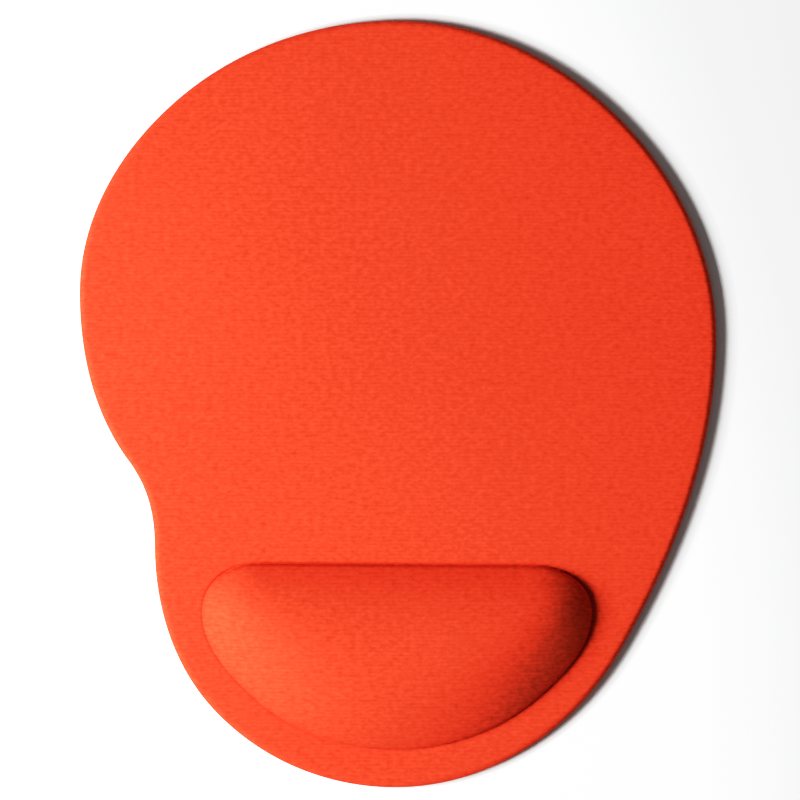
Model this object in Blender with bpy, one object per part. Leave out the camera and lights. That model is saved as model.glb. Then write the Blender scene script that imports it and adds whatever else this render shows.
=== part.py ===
"""Mouse pad with a raised wrist cushion, in metres, +Z up.

The cushion sits at the -Y end, where the wrist lies. The underside rests on z = 0.
From the desk up: grip sheet, adhesive, foam board, adhesives, foam cushion, and one
cloth that covers pad and cushion together and rolls down the rim.
"""

import math

import bmesh
import bpy
from mathutils import Vector, geometry

MM = 0.001

# Pad edge, counter-clockwise: x and y in mm, and the heading of the edge in degrees.
PAD_ANCHORS = (
    (95.5, 20.0, 90),
    (63.5, 88.5, 137),
    (0.0, 115.0, 180),
    (-66.5, 91.0, 221),
    (-95.5, 33.5, 270),
    (-80.5, -17.5, 307),
    (-73.0, -42.0, 270),
    (-54.5, -92.5, 314),
    (-1.0, -115.0, 0),
    (45.5, -98.5, 38),
    (67.0, -73.5, 60),
)

# Foot of the cushion, in the same form: straight towards the mouse, bowed towards the wrist.
CUSHION_ANCHORS = (
    (59.0, -62.5, 90),
    (41.0, -48.5, 180),
    (-43.0, -48.0, 180),
    (-59.5, -62.5, 270),
    (-43.5, -88.5, 318),
    (-1.0, -104.0, 0),
    (42.5, -88.5, 41),
)

PAD_POINTS = 120
CUSHION_POINTS = 72
CURVE_STEPS = 24

# Heights above the desk.
GRIP_TOP = 0.8 * MM
HEM_BOTTOM = 1.05 * MM
BASE_FILM_BOTTOM = 1.05 * MM
BOARD_BOTTOM = 1.45 * MM
BOARD_TOP = 2.65 * MM
TOP_FILM_BOTTOM = 2.9 * MM
CORE_BOTTOM = 3.3 * MM
PAD_TOP = 4.0 * MM
TOTAL_HEIGHT = 20.0 * MM

CLOTH_THICKNESS = 0.7 * MM
FILM_THICKNESS = 0.15 * MM
CLEARANCE = 0.3 * MM

# Rolled rim of the cloth, and the layers set back inside it.
RIM_RADIUS = 2.5 * MM
RIM_STEPS = 5
GRIP_INSET = 0.2 * MM
BOARD_INSET = CLOTH_THICKNESS + CLEARANCE
TOP_FILM_INSET = RIM_RADIUS + 0.2 * MM
PATCH_INSET = 2.0 * MM
CORE_INSET = 1.5 * MM
CORE_DROP = 1.2 * MM
FILM_OPENING_OUTSET = 0.5 * MM

# The cushion's crown narrows to a ridge that runs along X.
RIDGE_Y = -76.0 * MM
RIDGE_SHARE = 0.41
RIDGE_REACH = 0.92
DOME_STEPS = 9

# Its rise from the foot: with a step towards the mouse, as a slope elsewhere.
DOME_FULLNESS = 1.5
SLOPE_POWER = 0.95
STEP_POWER = 0.5
STEP_FACING = 0.2
SMALLEST_SIDE = 0.02 * MM


def clear_scene():
    for item in list(bpy.data.objects):
        bpy.data.objects.remove(item)


def material(name, colour, roughness):
    made = bpy.data.materials.new(name)
    made.use_nodes = True
    shader = made.node_tree.nodes["Principled BSDF"]
    shader.inputs["Base Color"].default_value = (*colour, 1.0)
    shader.inputs["Roughness"].default_value = roughness
    shader.inputs["Metallic"].default_value = 0.0
    return made


def add_object(name, bm, made):
    bmesh.ops.recalc_face_normals(bm, faces=bm.faces)
    mesh = bpy.data.meshes.new(name)
    bm.to_mesh(mesh)
    bm.free()
    mesh.materials.append(made)
    item = bpy.data.objects.new(name, mesh)
    bpy.context.scene.collection.objects.link(item)
    return item


def edge_curve(anchors):
    """Dense points along a closed smooth edge. Each stretch bends as evenly as an arc would."""
    points = []
    for start, end in zip(anchors, anchors[1:] + anchors[:1]):
        first = Vector((start[0], start[1], 0.0)) * MM
        last = Vector((end[0], end[1], 0.0)) * MM
        turn = math.radians((end[2] - start[2] + 180) % 360 - 180)
        handle = (last - first).length / (3 * math.cos(turn / 4) ** 2)
        leaving = Vector((math.cos(math.radians(start[2])), math.sin(math.radians(start[2])), 0.0))
        arriving = Vector((math.cos(math.radians(end[2])), math.sin(math.radians(end[2])), 0.0))
        stretch = geometry.interpolate_bezier(
            first, first + leaving * handle, last - arriving * handle, last, CURVE_STEPS
        )
        points += stretch[:-1]
    return points


def evenly_spaced(points, count):
    """The closed line through the points, as count points at equal distances along it."""
    lengths = [(b - a).length for a, b in zip(points, points[1:] + points[:1])]
    pitch = sum(lengths) / count
    spaced = []
    walked = 0.0
    for start, end, length in zip(points, points[1:] + points[:1], lengths):
        while len(spaced) < count and len(spaced) * pitch < walked + length:
            share = (len(spaced) * pitch - walked) / length
            spaced.append(start.lerp(end, share))
        walked += length
    return spaced


def inset(loop, distance):
    """The loop moved inwards by a distance, point by point."""
    moved = []
    for i, point in enumerate(loop):
        along = (loop[(i + 1) % len(loop)] - loop[i - 1]).normalized()
        inward = Vector((-along.y, along.x, 0.0))
        moved.append(point + inward * distance)
    return moved


def at_height(loop, height):
    return [Vector((point.x, point.y, height)) for point in loop]


def add_ring(bm, loop):
    return [bm.verts.new(point) for point in loop]


def join_rings(bm, lower, upper):
    for i in range(len(lower)):
        j = (i + 1) % len(lower)
        bm.faces.new((lower[i], lower[j], upper[j], upper[i]))


def loft(bm, loops):
    """Walls through the loops from first to last. Returns the first and the last ring."""
    rings = [add_ring(bm, loop) for loop in loops]
    for lower, upper in zip(rings, rings[1:]):
        join_rings(bm, lower, upper)
    return rings[0], rings[-1]


def ring_edges(bm, ring):
    pairs = [(ring[i - 1], ring[i]) for i in range(len(ring))]
    return [bm.edges.get(pair) or bm.edges.new(pair) for pair in pairs]


def fill_crown(bm, ring):
    """Closes the almost level ring at the cushion's ridge."""
    bmesh.ops.triangle_fill(bm, edges=ring_edges(bm, ring), use_beauty=True)


def rounded_rim(outline, foot, corner, height, width):
    """Loops from the foot straight up, then over a quarter-round corner."""
    loops = [at_height(outline, foot)]
    for step in range(RIM_STEPS + 1):
        angle = math.radians(90) * step / RIM_STEPS
        inward = width * (1 - math.cos(angle))
        loops.append(at_height(inset(outline, inward), corner + height * math.sin(angle)))
    return loops


def reach_of_line(along, side):
    """The pull of a straight line, from its nearest point to a point further along it."""
    return along / (2 * side**2 * (side**2 + along**2)) + math.atan(along / side) / (2 * side**3)


def distance_in(spot, outline):
    """Distance in from a closed outline: true near the edge, and level over the middle.

    Each piece of the outline pulls with the inverse fourth power of its distance.
    """
    pull = 0.0
    for start, end in zip(outline, outline[1:] + outline[:1]):
        piece = end - start
        along = piece.normalized()
        away = start - spot
        side = max(abs(away.cross(along).z), SMALLEST_SIDE)
        first = away.dot(along)
        pull += reach_of_line(first + piece.length, side) - reach_of_line(first, side)
    return (2 * pull / math.pi) ** (-1 / 3)


def rise_powers(foot):
    """How steeply each point of the foot rises, by how far it faces the mouse."""
    powers = []
    for i in range(len(foot)):
        along = (foot[(i + 1) % len(foot)] - foot[i - 1]).normalized()
        share = min(max((-along.x - STEP_FACING) / (1 - STEP_FACING), 0.0), 1.0)
        share = share * share * (3 - 2 * share)
        powers.append(SLOPE_POWER + (STEP_POWER - SLOPE_POWER) * share)
    return powers


def dome_loops(foot, bottom, height):
    """Loops from the cushion's foot up to its ridge."""
    powers = rise_powers(foot)
    full = distance_in(Vector((0.0, RIDGE_Y, 0.0)), foot)
    loops = [at_height(foot, bottom)]
    for step in range(1, DOME_STEPS + 1):
        inward = RIDGE_REACH * (1 - math.cos(math.radians(90) * step / DOME_STEPS))
        loop = []
        for point, power in zip(foot, powers):
            ridge = Vector((point.x * RIDGE_SHARE, RIDGE_Y, 0.0))
            spot = point.lerp(ridge, inward)
            share = min(distance_in(spot, foot) / full, 1.0)
            rise = height * (1 - (1 - share) ** DOME_FULLNESS) ** power
            loop.append(Vector((spot.x, spot.y, bottom + rise)))
        loops.append(loop)
    return loops


def flat_layer(name, outline, bottom, thickness, made):
    """A level sheet: one face over the outline, thickened upwards."""
    bm = bmesh.new()
    bm.faces.new(add_ring(bm, at_height(outline, bottom)))
    item = add_object(name, bm, made)
    thicken(item, thickness, 1.0)
    return item


def thicken(item, thickness, side):
    solidify = item.modifiers.new("Thickness", "SOLIDIFY")
    solidify.thickness = thickness
    solidify.offset = side
    solidify.use_even_offset = True


def smooth(item, angle):
    for face in item.data.polygons:
        face.use_smooth = True
    item.data.set_sharp_from_angle(angle=math.radians(angle))


def build_grip_sheet(pad):
    made = material("grip_rubber", (0.035, 0.036, 0.038), 0.75)
    return flat_layer("base_sheet", inset(pad, GRIP_INSET), 0.0, GRIP_TOP, made)


def build_base_film(pad):
    made = material("base_film", (0.62, 0.56, 0.40), 0.35)
    return flat_layer("base_adhesive_film", inset(pad, BOARD_INSET), BASE_FILM_BOTTOM, FILM_THICKNESS, made)


def build_board(pad):
    made = material("board_foam", (0.055, 0.055, 0.058), 0.9)
    outline = inset(pad, BOARD_INSET)
    corner = PAD_TOP - RIM_RADIUS
    bm = bmesh.new()
    loops = rounded_rim(outline, BOARD_BOTTOM, corner, BOARD_TOP - corner, RIM_RADIUS - BOARD_INSET)
    bottom, top = loft(bm, loops)
    bm.faces.new(bottom)
    bm.faces.new(top)
    item = add_object("pad_board", bm, made)
    smooth(item, 40)
    return item


def build_top_film(pad, cushion):
    """The film that holds the cloth to the board, open where the cushion stands."""
    made = material("top_film", (0.66, 0.60, 0.44), 0.35)
    bm = bmesh.new()
    outer = add_ring(bm, at_height(inset(pad, TOP_FILM_INSET), TOP_FILM_BOTTOM))
    opening = add_ring(bm, at_height(inset(cushion, -FILM_OPENING_OUTSET), TOP_FILM_BOTTOM))
    bmesh.ops.triangle_fill(bm, edges=ring_edges(bm, outer) + ring_edges(bm, opening), use_beauty=True)
    item = add_object("cover_adhesive_film", bm, made)
    thicken(item, FILM_THICKNESS, 1.0)
    return item


def build_cushion_patch(cushion):
    made = material("patch_film", (0.70, 0.63, 0.45), 0.35)
    return flat_layer("cushion_adhesive", inset(cushion, PATCH_INSET), TOP_FILM_BOTTOM, FILM_THICKNESS, made)


def build_cushion_core(cushion):
    made = material("cushion_foam", (0.82, 0.76, 0.58), 0.95)
    foot = inset(cushion, CORE_INSET)
    height = TOTAL_HEIGHT - CORE_DROP - PAD_TOP
    bm = bmesh.new()
    loops = [at_height(foot, CORE_BOTTOM)]
    loops += dome_loops(foot, PAD_TOP, height)
    bottom, crown = loft(bm, loops)
    bm.faces.new(bottom)
    fill_crown(bm, crown)
    item = add_object("cushion_core", bm, made)
    smooth(item, 50)
    return item


def build_cover(pad, cushion):
    """The cloth's outer face, from its hem up over the rim, the pad and the cushion."""
    made = material("cover_knit", (0.86, 0.055, 0.022), 0.8)
    corner = PAD_TOP - RIM_RADIUS
    bm = bmesh.new()
    _, shoulder = loft(bm, rounded_rim(pad, HEM_BOTTOM, corner, RIM_RADIUS, RIM_RADIUS))
    foot, crown = loft(bm, dome_loops(cushion, PAD_TOP, TOTAL_HEIGHT - PAD_TOP))
    fill_crown(bm, crown)
    bmesh.ops.triangle_fill(bm, edges=ring_edges(bm, shoulder) + ring_edges(bm, foot), use_beauty=True)
    item = add_object("fabric_cover", bm, made)
    smooth(item, 50)
    thicken(item, CLOTH_THICKNESS, -1.0)
    return item


def main():
    clear_scene()
    pad = evenly_spaced(edge_curve(PAD_ANCHORS), PAD_POINTS)
    cushion = evenly_spaced(edge_curve(CUSHION_ANCHORS), CUSHION_POINTS)
    build_grip_sheet(pad)
    build_base_film(pad)
    build_board(pad)
    build_top_film(pad, cushion)
    build_cushion_patch(cushion)
    build_cushion_core(cushion)
    build_cover(pad, cushion)


main()
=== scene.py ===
"""Looks of the cloth-covered mouse pad with a wrist cushion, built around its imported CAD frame.

Metres, +Z up, the same frame as the CAD: the cushion is at the -Y end and the desk is z = 0.
Outlines and heights come from the CAD nodes. One cloth covers pad and cushion.
"""

import math

import bmesh
import bpy
import numpy as np
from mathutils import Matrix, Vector, geometry, noise


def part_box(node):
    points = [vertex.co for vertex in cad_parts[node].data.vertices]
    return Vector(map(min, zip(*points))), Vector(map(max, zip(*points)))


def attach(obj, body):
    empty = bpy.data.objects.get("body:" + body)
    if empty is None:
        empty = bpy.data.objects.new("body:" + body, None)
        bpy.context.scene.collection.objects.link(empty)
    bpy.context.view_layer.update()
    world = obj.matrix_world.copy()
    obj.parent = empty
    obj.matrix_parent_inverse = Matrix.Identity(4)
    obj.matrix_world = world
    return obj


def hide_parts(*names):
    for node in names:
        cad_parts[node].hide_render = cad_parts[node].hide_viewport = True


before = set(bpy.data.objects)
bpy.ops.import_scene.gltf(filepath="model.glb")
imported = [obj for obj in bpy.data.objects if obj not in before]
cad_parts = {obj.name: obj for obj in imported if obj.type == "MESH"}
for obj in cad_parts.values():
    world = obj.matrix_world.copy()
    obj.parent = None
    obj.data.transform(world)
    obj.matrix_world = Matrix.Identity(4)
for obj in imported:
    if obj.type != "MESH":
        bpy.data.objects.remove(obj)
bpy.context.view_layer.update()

MM = 0.001
WELD = 0.001 * MM
CDT_EPSILON = WELD * 0.01
CDT_INSIDE_ONLY = 1
SMALLEST_SIDE = 0.02 * MM
SMALLEST_MOVE = 1e-12
QUARTER_TURN = math.radians(90)

# Cloth.
CLOTH_THICKNESS = 0.6 * MM
RIM_RADIUS = 2.1 * MM
RIM_STEPS = 9
RIM_WALL_STEPS = 2
RIM_SPACING = 1.4 * MM
HEM_CLEARANCE = 0.05 * MM
FLAT_SPACING = 3.6 * MM

# Crease where the cloth is pressed down round the cushion's foot. A facing is the share of the foot's
# outward direction that points towards the mouse, from where an effect starts to where it is full.
FOOT_SETBACK = 1.2 * MM
FOOT_STRETCH = (0.991, 1.008)
CLOTH_OVER_FOAM = 0.7 * MM
FOOT_SPACING = 1.1 * MM
CREASE_WIDTH = 0.42 * MM
CREASE_DEEP = 0.68 * MM
CREASE_SHALLOW = 0.15 * MM
CREASE_FACING = (0.2, 0.95)
FILM_CLEARANCE = 0.06 * MM
THINNEST_CLOTH = 0.15
CREASE_RUN_IN = (1.3 * MM, 0.9 * MM, 0.62 * MM, 0.42 * MM, 0.25 * MM, 0.1 * MM, 0.0)

# Cushion: distances in from its foot, and the shape of its rise to the ridge.
WALL_RUN = (0.05 * MM, 0.15 * MM, 0.3 * MM, 0.5 * MM, 0.75 * MM, 1.0 * MM, 1.4 * MM, 1.9 * MM,
            2.6 * MM)
CROWN_SPACING = 1.4 * MM
RIDGE_SHARE = 0.41
RIDGE_REACH = 0.97
DOME_FULLNESS = 1.5
DOME_POWER = 0.88
STEP_SHARE_SIDE = 0.07
STEP_SHARE_MOUSE = 0.12
STEP_FACING = (0.2, 1.0)
STEP_WIDTH = 1.0 * MM

# Swelling of the cushion under the cloth.
SWELL_ROOM = 0.6 * MM
SWELL_CAP = 0.9 * MM
SWELL_PRESSURE = 140.0
SWELL_FRAMES = 20
SWELL_QUALITY = 6
SWELL_MASS = 0.1
SWELL_HELD = 0.8 * MM
SWELL_FREE = 7.0 * MM

# Foam under the cloth.
FOAM_SPACING = 1.5 * MM
FOAM_EDGE = 0.4 * MM
FOAM_CLEARANCE = 0.3 * MM
FOAM_PORE = 0.05 * MM
FOAM_PORE_SPACING = 1.6 * MM

# Knit of the cloth. Scales are per metre, and a weight is how far a pattern moves the tone from dark
# to light.
RIB_PITCH = 1.05 * MM
RIB_SCALE = 0.1 * math.pi / RIB_PITCH
RIB_DISTORTION = {"Distortion": 1.1, "Detail": 2.0, "Detail Scale": 0.35, "Detail Roughness": 0.6}
GRAIN_STRETCH = (0.62, 1.0, 1.0)
GRAIN = {"Scale": 900.0, "Detail": 2.0, "Roughness": 0.6}
MOTTLE = {"Scale": 380.0, "Detail": 1.0}
PATCHES = {"Scale": 90.0, "Detail": 2.0}
BROAD = {"Scale": 14.0, "Detail": 1.0}
RIB_WEIGHT = 0.26
GRAIN_WEIGHT = 1.45
MOTTLE_WEIGHT = 0.5
BROAD_WEIGHT = 0.3
RIB_RELIEF = 0.6
GRAIN_RELIEF = 0.8
KNIT_RELIEF = {"Strength": 0.5, "Distance": 0.04 * MM}
KNIT_DARK = (0.51, 0.042, 0.017, 1.0)
KNIT_LIGHT = (0.85, 0.078, 0.037, 1.0)
CLOTH_ROUGHNESS = 0.78
CLOTH_SPECULAR = 0.08
CLOTH_SPECULAR_TINT = (1.0, 0.85, 0.55, 1.0)
CLOTH_SHEEN = 0.05
CLOTH_SHEEN_ROUGHNESS = 0.4
CLOTH_SHEEN_TINT = (1.0, 0.6, 0.4, 1.0)

# Foams, films and rubber: material, darkest and lightest colour, pore size, roughness, depth of relief.
FOAM_LOOK = (
    "cushion_foam_look", (0.60, 0.52, 0.30, 1.0), (0.80, 0.74, 0.52, 1.0), 0.9 * MM, 0.9, 0.08 * MM)
GRIP_LOOK = (
    "grip_rubber_look", (0.008, 0.008, 0.009, 1.0), (0.03, 0.03, 0.032, 1.0), 0.5 * MM, 0.8, 0.04 * MM)
LAYER_LOOKS = {
    "base_adhesive_film": (
        "base_film_look", (0.50, 0.42, 0.26, 1.0), (0.66, 0.58, 0.40, 1.0), 1.2 * MM, 0.42, 0.02 * MM),
    "cover_adhesive_film": (
        "top_film_look", (0.54, 0.47, 0.32, 1.0), (0.70, 0.63, 0.46, 1.0), 1.2 * MM, 0.40, 0.02 * MM),
    "cushion_adhesive": (
        "patch_film_look", (0.58, 0.52, 0.36, 1.0), (0.74, 0.68, 0.52, 1.0), 1.0 * MM, 0.38, 0.02 * MM),
    "pad_board": (
        "board_foam_look", (0.012, 0.012, 0.014, 1.0), (0.045, 0.045, 0.05, 1.0), 0.7 * MM, 0.85, 0.06 * MM),
}
PORE_WEIGHT = 0.6
PORE_PATCH_WEIGHT = 0.6
PORE_PATCHES_PER_PORE = 0.12
PORE_GRAINS_PER_PORE = 2
PORE_ROUGHNESS_SPREAD = 0.12
PORE_RELIEF_STRENGTH = 0.4

# Underside.
GRIP_SPACING = 2.0 * MM
GRIP_EDGE = 0.12 * MM
GRIP_CELL = 3.6 * MM
GRIP_BORDER = 3.0 * MM
GRIP_RIDGE = 0.6 * MM
GRIP_SLOPE = 0.15 * MM
GRIP_DEPTH = 0.3 * MM
HEXAGON = ((1, 1), (0, 2), (-1, 1), (-1, -1), (0, -2), (1, -1))

# View and light.
VIEW_WIDTH = 240.2 * MM
VIEW_CENTRE = (0.6 * MM, 1.2 * MM)
CAMERA_HEIGHT = 1.8
CAMERA_REACH = 20.0
SENSOR = 36.0
KEY_FROM = 194.0
KEY_ELEVATION = 40.0
KEY_DISTANCE = 0.6
KEY_LENGTH = 0.36
KEY_WIDTH = 0.24
KEY_WATTS = 7.6
WORLD_LIGHT = 0.12
WORLD_TINT = (0.94, 1.0, 0.98, 1.0)
TONE_REACH = 2.0
TONE_CURVE = ((0.0, 0.0), (0.40, 0.40), (0.50, 0.497), (0.60, 0.560), (0.78, 0.616), (0.92, 0.642),
              (0.98, 0.672), (1.04, 0.69), (1.4, 0.70), (2.0, 0.70))
COMBINED_CURVE = 3
FLOOR_SIZE = 8.0
FLOOR_COLOUR = (0.97, 0.97, 0.97, 1.0)
FLOOR_ROUGHNESS = 0.9
FLOOR_NEAR = 0.12
FLOOR_FAR = 0.32
BACKDROP = (1.06, 1.06, 1.06, 1.0)


# ---------------------------------------------------------------- outlines

def lowest_ring(node):
    """The outline of a CAD node's lowest level, counter-clockwise, as x and y."""
    bm = bmesh.new()
    bm.from_mesh(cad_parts[node].data)
    bmesh.ops.remove_doubles(bm, verts=bm.verts, dist=WELD)
    level = min(vertex.co.z for vertex in bm.verts) + WELD
    neighbours = {}
    for edge in bm.edges:
        low = all(vertex.co.z < level for vertex in edge.verts)
        if low and any(face.calc_center_median().z > level for face in edge.link_faces):
            a, b = edge.verts
            neighbours.setdefault(a, []).append(b)
            neighbours.setdefault(b, []).append(a)
    start = next(iter(neighbours))
    ring = [start, neighbours[start][0]]
    while len(ring) < len(neighbours):
        a, b = neighbours[ring[-1]]
        ring.append(b if a == ring[-2] else a)
    loop = np.array([vertex.co.xy for vertex in ring])
    bm.free()
    after = np.roll(loop, -1, 0)
    turns_left = (loop[:, 0] * after[:, 1] - loop[:, 1] * after[:, 0]).sum() > 0
    return loop if turns_left else loop[::-1]


def rounded(loop, steps=8):
    """More points on a closed smooth curve through the loop's own points."""
    before = np.roll(loop, 1, 0)
    after = np.roll(loop, -1, 0)
    beyond = np.roll(loop, -2, 0)
    parts = []
    for t in np.arange(steps) / steps:
        bend = (2 * before - 5 * loop + 4 * after - beyond) * t**2
        twist = (3 * loop - before - 3 * after + beyond) * t**3
        parts.append(0.5 * (2 * loop + (after - before) * t + bend + twist))
    return np.stack(parts, 1).reshape(-1, 2)


def evenly(loop, spacing):
    """The closed loop with points at equal distances along it."""
    closed = np.vstack([loop, loop[:1]])
    walked = np.concatenate([[0.0], np.cumsum(np.linalg.norm(np.diff(closed, axis=0), axis=1))])
    count = round(walked[-1] / spacing)
    at = np.arange(count) * walked[-1] / count
    return np.column_stack([np.interp(at, walked, closed[:, axis]) for axis in (0, 1)])


def outward(loop):
    """The outward direction at each point of a counter-clockwise loop."""
    along = np.roll(loop, -1, 0) - np.roll(loop, 1, 0)
    along /= np.linalg.norm(along, axis=1)[:, None]
    return np.column_stack([along[:, 1], -along[:, 0]])


def grown(loop, distance):
    """The loop moved outwards, or inwards where the distance is negative."""
    return loop + outward(loop) * distance


def inside(points, loop):
    """Which points lie inside a closed loop."""
    crossed = np.zeros(len(points), bool)
    for (x0, y0), (x1, y1) in zip(loop, np.roll(loop, -1, 0)):
        spans = (y0 > points[:, 1]) != (y1 > points[:, 1])
        if y0 != y1:
            crossed ^= spans & (points[:, 0] < x0 + (points[:, 1] - y0) * (x1 - x0) / (y1 - y0))
    return crossed


def honeycomb_points(low, high, spacing):
    """Points of a triangular grid over a rectangle."""
    rows = []
    step = spacing * math.sqrt(3) / 2
    for row, y in enumerate(np.arange(low[1], high[1], step)):
        x = np.arange(low[0] + (row % 2) * spacing / 2, high[0], spacing)
        rows.append(np.column_stack([x, np.full(len(x), y)]))
    return np.vstack(rows)


def smooth_step(value, start, end):
    share = np.clip((value - start) / (end - start), 0.0, 1.0)
    return share * share * (3 - 2 * share)


# ---------------------------------------------------------------- meshes

class Surface:
    """Points, faces and cloth coordinates that grow into one mesh."""

    def __init__(self):
        self.points = []
        self.cloth = []
        self.run_in = []
        self.faces = []

    def add(self, spots, heights, cloth=None, run_in=0.0):
        """Adds points and returns their indices. Cloth coordinates are the spots unless given."""
        first = len(self.points)
        spots = np.asarray(spots)
        heights = np.broadcast_to(heights, len(spots))
        run_in = np.broadcast_to(run_in, len(spots))
        cloth = spots if cloth is None else cloth
        self.points += [(x, y, z) for (x, y), z in zip(spots, heights)]
        self.cloth += [(x, y, 0.0) for x, y in cloth]
        self.run_in += list(run_in)
        return list(range(first, len(self.points)))

    def loft(self, rings):
        """Four-sided faces between neighbouring rings, from the outside in."""
        for outer, inner in zip(rings, rings[1:]):
            for i in range(len(outer)):
                j = (i + 1) % len(outer)
                self.faces.append((outer[i], outer[j], inner[j], inner[i]))

    def triangulate(self, outer, hole, loose):
        """Triangles between an outer ring and a hole's ring, through the loose points."""
        used = outer + hole + loose
        spots = [Vector(self.points[i][:2]) for i in used]
        edges = ring_pairs(0, len(outer)) + ring_pairs(len(outer), len(hole))
        made = geometry.delaunay_2d_cdt(spots, edges, [], CDT_INSIDE_ONLY, CDT_EPSILON)
        corners = np.array(made[2])
        places = np.array([v[:] for v in made[0]])
        index = [used[original[0]] for original in made[3]]
        if hole:
            hole_loop = np.array([self.points[i][:2] for i in hole])
            corners = corners[~inside(places[corners].mean(1), hole_loop)]
        self.faces += [tuple(index[i] for i in corner) for corner in corners]

    def mesh(self, name, closed=False):
        made = bpy.data.meshes.new(name)
        made.from_pydata(self.points, [], self.faces)
        if closed:
            bm = bmesh.new()
            bm.from_mesh(made)
            bmesh.ops.recalc_face_normals(bm, faces=bm.faces)
            bm.to_mesh(made)
            bm.free()
        cloth = made.attributes.new("cloth", "FLOAT_VECTOR", "POINT")
        cloth.data.foreach_set("vector", np.array(self.cloth, np.float32).ravel())
        made.shade_smooth()
        return made


def ring_pairs(first, count):
    """The edges of a closed ring of points."""
    return [(first + i, first + (i + 1) % count) for i in range(count)]


def add_object(mesh, material):
    item = bpy.data.objects.new(mesh.name, mesh)
    bpy.context.scene.collection.objects.link(item)
    mesh.materials.clear()
    mesh.materials.append(material)
    return item


# ---------------------------------------------------------------- cloth and cushion

def cushion_outline(spacing):
    """The foam's foot, drawn in a little at its ends and out towards the mouse by the stretched cloth."""
    foot = evenly(rounded(lowest_ring("cushion_core")), spacing)
    near = np.array([0.0, foot[:, 1].min()])
    return near + (foot - near) * FOOT_STRETCH


def ridge_of(foot, centre_y):
    """Where each point of the foot's outline is heading as the cushion rises."""
    return np.column_stack([foot[:, 0] * RIDGE_SHARE, np.full(len(foot), centre_y)])


def step_share(foot):
    """The share of the height in the foot's rounded step: large towards the mouse, small elsewhere."""
    facing = outward(foot)[:, 1]
    return STEP_SHARE_SIDE + (STEP_SHARE_MOUSE - STEP_SHARE_SIDE) * smooth_step(facing, *STEP_FACING)


def soft_distance(spots, outline):
    """Distance in from an outline, true near the edge and smooth over the middle.

    Every short piece of the outline counts by the inverse fourth power of its distance.
    """
    along = np.roll(outline, -1, 0) - outline
    length = np.linalg.norm(along, axis=1)
    along /= length[:, None]
    away = spots[:, None] - outline
    start = -(away * along).sum(2)
    side = np.abs(away[..., 0] * along[:, 1] - away[..., 1] * along[:, 0])
    side = np.maximum(side, SMALLEST_SIDE)

    def up_to(s):
        return s / (2 * side**2 * (side**2 + s**2)) + np.arctan(s / side) / (2 * side**3)

    pull = (up_to(start + length) - up_to(start)).sum(1)
    return (pull / (math.pi / 2)) ** (-1 / 3)


def rise(spots, foot, step):
    """Height of the cushion, from 0 at its foot to 1 over the middle."""
    middle = np.array([[0.0, (foot[:, 1].min() + foot[:, 1].max()) / 2]])
    distance = soft_distance(spots, foot)
    share = np.minimum(distance / soft_distance(middle, foot), 1.0)
    dome = (1 - (1 - share) ** DOME_FULLNESS) ** DOME_POWER
    wall = np.sqrt(1 - (1 - np.minimum(distance / STEP_WIDTH, 1.0)) ** 2)
    return step * wall + (1 - step) * dome


def crease_depth(foot):
    """How deep the crease is: most towards the mouse, and fading round the corners."""
    facing = outward(foot)[:, 1]
    return CREASE_SHALLOW + (CREASE_DEEP - CREASE_SHALLOW) * smooth_step(facing, *CREASE_FACING)


def build_rim(surface, pad, top, hem):
    """Rings from the hem up the rim to the start of the flat. Returns the innermost ring."""
    directions = outward(pad)
    shoulder = pad - directions * RIM_RADIUS
    arc = QUARTER_TURN * RIM_RADIUS
    corner = top - RIM_RADIUS
    rings = []
    for height in np.linspace(hem, corner, RIM_WALL_STEPS + 1)[:-1]:
        cloth = shoulder + directions * (arc + corner - height)
        rings.append(surface.add(pad, height, cloth))
    for step in range(RIM_STEPS + 1):
        angle = QUARTER_TURN * step / RIM_STEPS
        spots = shoulder + directions * RIM_RADIUS * math.cos(angle)
        cloth = shoulder + directions * (arc - angle * RIM_RADIUS)
        rings.append(surface.add(spots, corner + RIM_RADIUS * math.sin(angle), cloth))
    surface.loft(rings)
    return rings[-1]


def build_foot(surface, foot, ridge, top, height):
    """Rings through the crease and up the cushion's steep foot. Returns the first and the last."""
    depth = crease_depth(foot)
    step = step_share(foot)
    reach = np.linalg.norm(ridge - foot, axis=1)
    rings = []
    for distance in CREASE_RUN_IN:
        sunk = depth * np.exp(-((distance / CREASE_WIDTH) ** 2))
        rings.append(surface.add(grown(foot, distance), top - sunk))
    for distance in WALL_RUN:
        share = distance / reach
        spots = foot + (ridge - foot) * share[:, None]
        sunk = depth * np.exp(-((distance / CREASE_WIDTH) ** 2))
        rings.append(surface.add(spots, top - sunk + height * rise(spots, foot, step), run_in=distance))
    surface.loft(rings)
    return rings[0], rings[-1]


def build_crown(surface, foot, ridge, top, height, outer):
    """Evenly spread triangles from the steep foot to the ridge."""
    reach = np.linalg.norm(ridge - foot, axis=1)
    step = step_share(foot)
    loose = []
    start = WALL_RUN[-1] / reach
    steps = round((reach.min() - WALL_RUN[-1]) / CROWN_SPACING)
    for level in range(1, steps):
        share = start + (RIDGE_REACH - start) * level / (steps - 1)
        ring = foot + (ridge - foot) * share[:, None]
        spots = evenly(ring, CROWN_SPACING)
        walked = np.linspace(0, len(foot), len(spots), endpoint=False)
        inner = np.interp(walked, np.arange(len(foot)), share, period=len(foot))
        steps_here = np.interp(walked, np.arange(len(foot)), step, period=len(foot))
        heights = top + height * rise(spots, foot, steps_here)
        loose += surface.add(spots, heights, run_in=inner * reach.mean())
    surface.triangulate(outer, [], loose)


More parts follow.
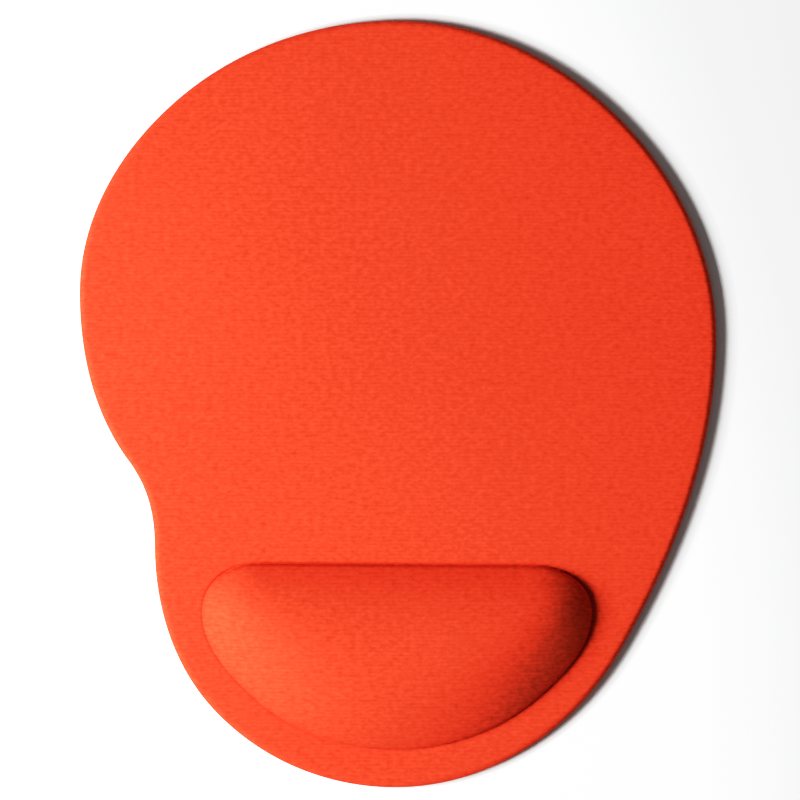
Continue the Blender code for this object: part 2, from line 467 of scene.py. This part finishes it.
def build_cover_surface(pad, foot, top, hem, height):
    """The cloth's outer face, all in one piece."""
    surface = Surface()
    ridge = ridge_of(foot, (foot[:, 1].min() + foot[:, 1].max()) / 2)
    shoulder = build_rim(surface, pad, top, hem)
    crease, wall = build_foot(surface, foot, ridge, top, height)
    spots = honeycomb_points(pad.min(0), pad.max(0), FLAT_SPACING)
    keep = inside(spots, grown(pad, -RIM_RADIUS - FLAT_SPACING / 2))
    keep &= ~inside(spots, grown(foot, CREASE_RUN_IN[0] + FLAT_SPACING / 2))
    flat = surface.add(spots[keep], top)
    surface.triangulate(shoulder, crease, flat)
    build_crown(surface, foot, ridge, top, height, wall)
    return surface


def swell(item, run_in):
    """Pressure pushes the cloth out: a short simulation that only moves the cushion's crown."""
    held = 1.0 - smooth_step(np.array(run_in), SWELL_HELD, SWELL_FREE)
    group = item.vertex_groups.new(name="held")
    for i, weight in enumerate(held):
        group.add([i], float(weight), "REPLACE")
    cloth = item.modifiers.new("Swell", "CLOTH")
    cloth.settings.vertex_group_mass = group.name
    cloth.settings.quality = SWELL_QUALITY
    cloth.settings.mass = SWELL_MASS
    cloth.settings.use_pressure = True
    cloth.settings.uniform_pressure_force = SWELL_PRESSURE
    cloth.settings.effector_weights.gravity = 0.0
    cloth.collision_settings.use_collision = False
    cloth.point_cache.frame_start = 1
    cloth.point_cache.frame_end = SWELL_FRAMES
    scene = bpy.context.scene
    for step in range(1, SWELL_FRAMES + 1):
        scene.frame_set(step)
    rest = points_of(item.data)
    shown = item.evaluated_get(bpy.context.evaluated_depsgraph_get())
    moved = points_of(shown.data) - rest
    item.modifiers.remove(cloth)
    item.vertex_groups.remove(group)
    length = np.linalg.norm(moved, axis=1)[:, None]
    capped = SWELL_CAP * np.tanh(length / SWELL_CAP) / np.maximum(length, SMALLEST_MOVE)
    set_points(item.data, rest + moved * capped)
    scene.frame_set(1)


def points_of(mesh):
    flat = np.zeros(len(mesh.vertices) * 3, np.float32)
    mesh.vertices.foreach_get("co", flat)
    return flat.reshape(-1, 3).astype(float)


def set_points(mesh, points):
    mesh.vertices.foreach_set("co", points.astype(np.float32).ravel())
    mesh.update()


def thinned_in_crease(cover, foot):
    """Weights for the cloth's thickness, which is less in the crease, so that it stays above the film."""
    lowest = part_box("cover_adhesive_film")[1].z + FILM_CLEARANCE
    points = points_of(cover.data)
    near = inside(points[:, :2], grown(foot, CREASE_RUN_IN[0]))
    share = np.clip((points[:, 2] - lowest) / CLOTH_THICKNESS, THINNEST_CLOTH, 1.0)
    group = cover.vertex_groups.new(name="cloth_thickness")
    for index, weight in enumerate(np.where(near, share, 1.0)):
        group.add([index], float(weight), "REPLACE")
    return group


def build_cover(material):
    """One sheet of cloth over the pad and the cushion, from hem to hem."""
    board_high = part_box("pad_board")[1]
    cover_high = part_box("fabric_cover")[1]
    grip_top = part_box("base_sheet")[1].z
    setback = cover_high.x - board_high.x
    pad = grown(evenly(rounded(lowest_ring("pad_board")), RIM_SPACING), setback)
    foot = grown(cushion_outline(FOOT_SPACING), FOOT_SETBACK)
    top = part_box("cushion_core")[0].z + CLOTH_OVER_FOAM
    height = cover_high.z - top - SWELL_ROOM
    surface = build_cover_surface(pad, foot, top, grip_top + HEM_CLEARANCE, height)
    cover = add_object(surface.mesh("cloth_cover"), material)
    swell(cover, surface.run_in)
    solid = cover.modifiers.new("Thickness", "SOLIDIFY")
    solid.thickness = CLOTH_THICKNESS
    solid.offset = -1.0
    solid.vertex_group = thinned_in_crease(cover, foot).name
    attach(cover, "root")
    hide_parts("fabric_cover")


def build_foam(material):
    """The foam cushion: flat below, rounded above, with an open-pored skin."""
    low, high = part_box("cushion_core")
    surface = Surface()
    foot = cushion_outline(FOAM_SPACING)
    ridge = ridge_of(foot, (foot[:, 1].min() + foot[:, 1].max()) / 2)
    base = low.z + FOAM_EDGE
    height = high.z - FOAM_CLEARANCE - base
    bottom = surface.add(grown(foot, -FOAM_EDGE), low.z)
    spots = honeycomb_points(foot.min(0), foot.max(0), FOAM_SPACING * 2)
    keep = inside(spots, grown(foot, -FOAM_SPACING * 2))
    surface.triangulate(bottom, [], surface.add(spots[keep], low.z))
    side = surface.add(foot, low.z + FOAM_EDGE / 2)
    surface.loft([bottom, side])
    step = step_share(foot)
    reach = np.linalg.norm(ridge - foot, axis=1)
    rings = [side]
    for distance in WALL_RUN:
        spots = foot + (ridge - foot) * (distance / reach)[:, None]
        rings.append(surface.add(spots, base + height * rise(spots, foot, step)))
    surface.loft(rings)
    build_crown(surface, foot, ridge, base, height, rings[-1])
    mesh = surface.mesh("cushion_foam_body", closed=True)
    points = points_of(mesh)
    normals = np.array([vertex.normal for vertex in mesh.vertices])
    pores = np.array([noise.noise(Vector(point) / FOAM_PORE_SPACING) for point in points])
    above = points[:, 2] > base
    set_points(mesh, points + normals * (FOAM_PORE * pores * above)[:, None])
    foam = add_object(mesh, material)
    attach(foam, "root")
    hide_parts("cushion_core")
    return foam


# ---------------------------------------------------------------- underside

def build_grip(material):
    """The rubber underside: an embossed honeycomb inside a plain border."""
    low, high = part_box("base_sheet")
    outline = evenly(rounded(lowest_ring("base_sheet")), GRIP_SPACING)
    surface = Surface()
    under = surface.add(grown(outline, -GRIP_EDGE), low.z)
    rings = [under] + [surface.add(outline, z) for z in (low.z + GRIP_EDGE, high.z - GRIP_EDGE)]
    rings.append(surface.add(grown(outline, -GRIP_EDGE), high.z))
    surface.loft(rings)
    surface.triangulate(rings[-1], [], [])
    cells = build_honeycomb(surface, outline, low.z)
    surface.triangulate(under, cells, [])
    grip = add_object(surface.mesh("grip_underside", closed=True), material)
    for polygon in grip.data.polygons:
        polygon.use_smooth = False
    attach(grip, "root")
    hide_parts("base_sheet")


def build_honeycomb(surface, outline, level):
    """Hollow six-sided cells with ridges between them. Returns the ring round them all."""
    unit = np.array([GRIP_CELL / 2, GRIP_CELL / math.sqrt(12)])
    count = np.ceil(np.abs(outline).max(0) / unit).astype(int)
    lattice = np.array([(x, 3 * row) for row in range(-count[1], count[1])
                        for x in range(-count[0], count[0]) if (x + row) % 2 == 0])
    room = grown(outline, -GRIP_BORDER - GRIP_CELL / 2)
    lattice = lattice[inside(lattice * unit, room)]
    corner_at = {}
    open_edges = set()
    rim_share = 1 - GRIP_RIDGE / GRIP_CELL
    floor_share = rim_share - 2 * GRIP_SLOPE / GRIP_CELL
    turn = np.array(HEXAGON)
    for centre in lattice:
        spots = (centre + turn) * unit
        corners = []
        for place, spot in zip(centre + turn, spots):
            key = tuple(place)
            if key not in corner_at:
                corner_at[key] = surface.add([spot], level)[0]
            corners.append(corner_at[key])
        middle = centre * unit
        rim = surface.add(middle + turn * unit * rim_share, level)
        floor = surface.add(middle + turn * unit * floor_share, level + GRIP_DEPTH)
        surface.loft([corners, rim, floor])
        surface.faces.append(tuple(floor))
        for edge in zip(corners, corners[1:] + corners[:1]):
            if edge[::-1] in open_edges:
                open_edges.remove(edge[::-1])
            else:
                open_edges.add(edge)
    follows = dict(open_edges)
    ring = [min(follows)]
    while follows[ring[-1]] != ring[0]:
        ring.append(follows[ring[-1]])
    return ring


# ---------------------------------------------------------------- materials

def node(tree, kind, sockets=None, **settings):
    """A shader node. A socket is linked when its value is another node's output."""
    made = tree.nodes.new("ShaderNode" + kind)
    for name, value in settings.items():
        setattr(made, name, value)
    for name, value in (sockets or {}).items():
        if isinstance(value, bpy.types.NodeSocket):
            tree.links.new(value, made.inputs[name])
        else:
            made.inputs[name].default_value = value
    return made


def new_material(name):
    made = bpy.data.materials.new(name)
    made.use_nodes = True
    tree = made.node_tree
    shader = tree.nodes["Principled BSDF"]
    return made, tree, shader


def maths(tree, operation, a, b=0.0):
    return node(tree, "Math", {0: a, 1: b}, operation=operation).outputs[0]


def centred(tree, pattern, weight):
    """A pattern moved to swing evenly about zero, by its weight."""
    return maths(tree, "MULTIPLY", maths(tree, "SUBTRACT", pattern, 0.5), weight)


def cloth_material():
    """Fine stretch knit: ribs along X that show in patches, a fine grain, and a faint sheen."""
    made, tree, shader = new_material("cover_knit_look")
    cloth = node(tree, "Attribute", attribute_name="cloth").outputs["Vector"]
    ribs = node(tree, "TexWave", {"Vector": cloth, "Scale": RIB_SCALE, **RIB_DISTORTION},
                bands_direction="Y").outputs["Fac"]
    stretched = node(tree, "Mapping", {"Vector": cloth, "Scale": GRAIN_STRETCH}).outputs["Vector"]
    grain = node(tree, "TexNoise", {"Vector": stretched, **GRAIN}).outputs["Fac"]
    mottle = node(tree, "TexNoise", {"Vector": cloth, **MOTTLE}).outputs["Fac"]
    patches = node(tree, "TexNoise", {"Vector": cloth, **PATCHES}).outputs["Fac"]
    broad = node(tree, "TexNoise", {"Vector": cloth, **BROAD}).outputs["Fac"]
    rib_share = centred(tree, ribs, maths(tree, "MULTIPLY", patches, RIB_WEIGHT))
    fine_share = centred(tree, grain, GRAIN_WEIGHT)
    mottle_share = centred(tree, mottle, MOTTLE_WEIGHT)
    broad_share = centred(tree, broad, BROAD_WEIGHT)
    swing = maths(tree, "ADD", rib_share, maths(tree, "ADD", fine_share, mottle_share))
    tone = maths(tree, "ADD", maths(tree, "ADD", swing, broad_share), 0.5)
    colour = node(tree, "Mix", {"Factor": tone, "A": KNIT_DARK, "B": KNIT_LIGHT}, data_type="RGBA")
    tree.links.new(colour.outputs["Result"], shader.inputs["Base Color"])
    rib_height = maths(tree, "MULTIPLY", ribs, RIB_RELIEF)
    height = maths(tree, "ADD", rib_height, maths(tree, "MULTIPLY", grain, GRAIN_RELIEF))
    bump = node(tree, "Bump", {"Height": height, **KNIT_RELIEF})
    tree.links.new(bump.outputs["Normal"], shader.inputs["Normal"])
    shader.inputs["Roughness"].default_value = CLOTH_ROUGHNESS
    shader.inputs["Specular IOR Level"].default_value = CLOTH_SPECULAR
    shader.inputs["Specular Tint"].default_value = CLOTH_SPECULAR_TINT
    shader.inputs["Sheen Weight"].default_value = CLOTH_SHEEN
    shader.inputs["Sheen Roughness"].default_value = CLOTH_SHEEN_ROUGHNESS
    shader.inputs["Sheen Tint"].default_value = CLOTH_SHEEN_TINT
    return made


def porous_material(name, dark, light, pore, roughness, relief):
    """A foam, film or rubber: fine pores, softer patches of colour, and a low relief."""
    made, tree, shader = new_material(name)
    place = node(tree, "TexCoord").outputs["Object"]
    pores = node(tree, "TexVoronoi", {
        "Vector": place, "Scale": 1 / pore, "Randomness": 1.0}).outputs["Distance"]
    patches = node(tree, "TexNoise", {
        "Vector": place, "Scale": PORE_PATCHES_PER_PORE / pore, "Detail": 3.0}).outputs["Fac"]
    grain = node(tree, "TexNoise", {
        "Vector": place, "Scale": PORE_GRAINS_PER_PORE / pore, "Detail": 2.0}).outputs["Fac"]
    pore_share = maths(tree, "MULTIPLY", pores, PORE_WEIGHT)
    tone = maths(tree, "ADD", pore_share, maths(tree, "MULTIPLY", patches, PORE_PATCH_WEIGHT))
    colour = node(tree, "Mix", {"Factor": tone, "A": dark, "B": light}, data_type="RGBA")
    tree.links.new(colour.outputs["Result"], shader.inputs["Base Color"])
    rough = node(tree, "MapRange", {
        "Value": grain,
        "To Min": roughness - PORE_ROUGHNESS_SPREAD,
        "To Max": roughness + PORE_ROUGHNESS_SPREAD,
    })
    tree.links.new(rough.outputs["Result"], shader.inputs["Roughness"])
    height = maths(tree, "ADD", pores, grain)
    bump = node(tree, "Bump", {"Height": height, "Strength": PORE_RELIEF_STRENGTH, "Distance": relief})
    tree.links.new(bump.outputs["Normal"], shader.inputs["Normal"])
    return made


def dress_layers():
    """Finished materials for the CAD nodes that stay: the adhesive films and the foam board."""
    for name, look in LAYER_LOOKS.items():
        material = porous_material(*look)
        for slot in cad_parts[name].material_slots:
            slot.material = material


# ---------------------------------------------------------------- stage

def build_floor():
    """A pale floor that turns into the backdrop's even white away from the pad."""
    bpy.ops.mesh.primitive_plane_add(size=FLOOR_SIZE, location=(0.0, 0.0, 0.0))
    floor = bpy.context.object
    floor.name = "floor"
    made, tree, shader = new_material("floor_white")
    shader.inputs["Base Color"].default_value = FLOOR_COLOUR
    shader.inputs["Roughness"].default_value = FLOOR_ROUGHNESS
    shader.inputs["Specular IOR Level"].default_value = 0.0
    place = node(tree, "TexCoord").outputs["Object"]
    away = node(tree, "VectorMath", {0: place}, operation="LENGTH").outputs["Value"]
    far = node(tree, "MapRange", {"Value": away, "From Min": FLOOR_NEAR, "From Max": FLOOR_FAR},
               interpolation_type="SMOOTHSTEP").outputs["Result"]
    seen = node(tree, "LightPath").outputs["Is Camera Ray"]
    even = node(tree, "Emission", {"Color": BACKDROP, "Strength": 1.0}).outputs[0]
    share = maths(tree, "MULTIPLY", far, seen)
    mixed = node(tree, "MixShader", {0: share, 1: shader.outputs[0], 2: even})
    tree.links.new(mixed.outputs[0], tree.nodes["Material Output"].inputs["Surface"])
    floor.data.materials.append(made)


def build_camera():
    """Looks straight down on the pad, as the photograph does."""
    data = bpy.data.cameras.new("camera")
    data.sensor_width = SENSOR
    data.lens = SENSOR * CAMERA_HEIGHT / VIEW_WIDTH
    data.clip_end = CAMERA_REACH
    camera = bpy.data.objects.new("camera", data)
    camera.location = (*VIEW_CENTRE, CAMERA_HEIGHT)
    bpy.context.scene.collection.objects.link(camera)
    bpy.context.scene.camera = camera


def towards_centre(item, azimuth, elevation, distance):
    """Puts a light in that direction from the pad, facing it."""
    a = math.radians(azimuth)
    e = math.radians(elevation)
    back = Vector((math.cos(a) * math.cos(e), math.sin(a) * math.cos(e), math.sin(e)))
    item.location = back * distance
    item.rotation_mode = "QUATERNION"
    item.rotation_quaternion = (-back).to_track_quat("-Z", "Y")


def build_lights():
    """One soft lamp, close by on the left, so that the light weakens across the pad."""
    area = bpy.data.lights.new("key", "AREA")
    area.shape = "RECTANGLE"
    area.size = KEY_LENGTH
    area.size_y = KEY_WIDTH
    area.energy = KEY_WATTS
    key = bpy.data.objects.new("key", area)
    key.visible_camera = False
    bpy.context.scene.collection.objects.link(key)
    towards_centre(key, KEY_FROM, KEY_ELEVATION, KEY_DISTANCE)


def build_world():
    """Dim even light from all sides, with a pale backdrop where the camera sees past the floor."""
    world = bpy.data.worlds.new("studio")
    bpy.context.scene.world = world
    world.use_nodes = True
    tree = world.node_tree
    dim = tree.nodes["Background"]
    dim.inputs["Color"].default_value = WORLD_TINT
    dim.inputs["Strength"].default_value = WORLD_LIGHT
    pale = node(tree, "Background", {"Color": BACKDROP, "Strength": 1.0})
    seen = node(tree, "LightPath").outputs["Is Camera Ray"]
    mixed = node(tree, "MixShader", {0: seen, 1: dim.outputs[0], 2: pale.outputs[0]})
    tree.links.new(mixed.outputs[0], tree.nodes["World Output"].inputs["Surface"])


def set_tones():
    """Studio contrast, with the brightest reds eased off before they reach white."""
    view = bpy.context.scene.view_settings
    view.view_transform = "Standard"
    view.look = "High Contrast"
    view.use_curve_mapping = True
    mapping = view.curve_mapping
    mapping.white_level = (TONE_REACH,) * 3
    points = mapping.curves[COMBINED_CURVE].points
    points[-1].location = (1.0, TONE_CURVE[-1][1])
    for level, shown in TONE_CURVE[1:-1]:
        points.new(level / TONE_REACH, shown)
    for point in points:
        point.handle_type = "VECTOR"
    mapping.update()


def main():
    build_camera()
    foam = build_foam(porous_material(*FOAM_LOOK))
    build_cover(cloth_material())
    build_grip(porous_material(*GRIP_LOOK))
    dress_layers()
    build_floor()
    build_lights()
    build_world()
    set_tones()


main()
